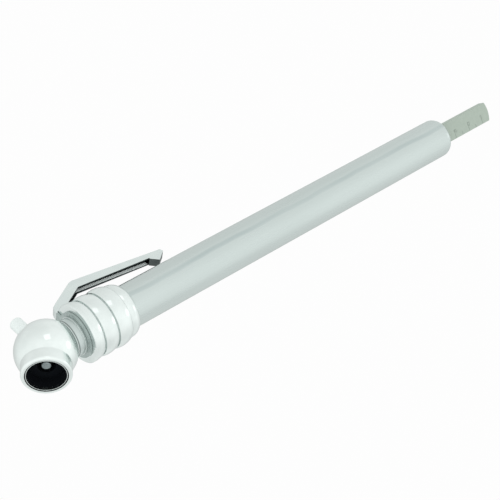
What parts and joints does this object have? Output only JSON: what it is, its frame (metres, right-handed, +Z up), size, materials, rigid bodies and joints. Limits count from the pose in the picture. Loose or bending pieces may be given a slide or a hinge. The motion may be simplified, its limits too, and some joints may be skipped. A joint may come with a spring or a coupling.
{
  "type": "tire pressure gauge",
  "caption": "Pencil tyre pressure gauge: ball head with angled chuck and bleed peg, ribbed collar, pocket clip, tubular barrel and a flat sliding indicator bar.",
  "frame": {"origin": "middle of the metal bore in the chuck's mouth, on the chuck's axis", "axes": "+X along the barrel from the head to the indicator bar's tip, +Z up with the gauge lying on its side, +Y completes the frame"},
  "size_m": [0.1568, 0.0219, 0.0143],
  "materials": {
    "plated_zinc": "bright chrome plate over die-cast zinc",
    "satin_aluminium": "satin drawn tube",
    "clip_steel": "nickel-plated spring steel, bright",
    "rubber": "matt black",
    "bar_plastic": "grey-green, semi-matt, printed scale",
    "bush_plastic": "dark grey moulded",
    "brass": "turned",
    "spring_steel": "drawn wire"
  },
  "bodies": {
    "casing": {"head_casting": "plated_zinc", "mouth_ring": "clip_steel", "chuck_gasket": "rubber", "depressor_pin": "clip_steel", "bleed_peg": "plated_zinc", "clip_ring": "clip_steel", "collar": "plated_zinc", "barrel_seal": "rubber", "barrel": "satin_aluminium", "end_bush": "bush_plastic", "friction_leaf": "brass", "spring_washer": "spring_steel", "main_spring": "spring_steel"},
    "piston_group": {"piston": "brass", "piston_cup": "rubber", "cup_washer": "spring_steel", "piston_screw": "brass"},
    "indicator": {"indicator_bar": "bar_plastic", "bar_foot": "brass"},
    "clip": {"clip_arm": "clip_steel"}
  },
  "joints": [
    {"name": "bar_slide", "type": "slide", "parent": "casing", "child": "indicator", "axis": [1, 0, 0], "range_m": [-0.0184, 0.0366]},
    {"name": "piston_slide", "type": "slide", "parent": "casing", "child": "piston_group", "axis": [1, 0, 0], "range_m": [-0.0184, 0.0366], "deforming": ["main_spring"]},
    {"name": "clip_flex", "type": "hinge", "parent": "casing", "child": "clip", "pos_m": [0.0121, 0.01246, 0.00192], "axis": [0, -0.1908, 0.9816], "range_deg": [0, 6], "stiffness_Nm_per_rad": 0.15}
  ],
  "couplings": [
    {"joint": "piston_slide", "follows": "bar_slide", "ratio": 1}
  ]
}
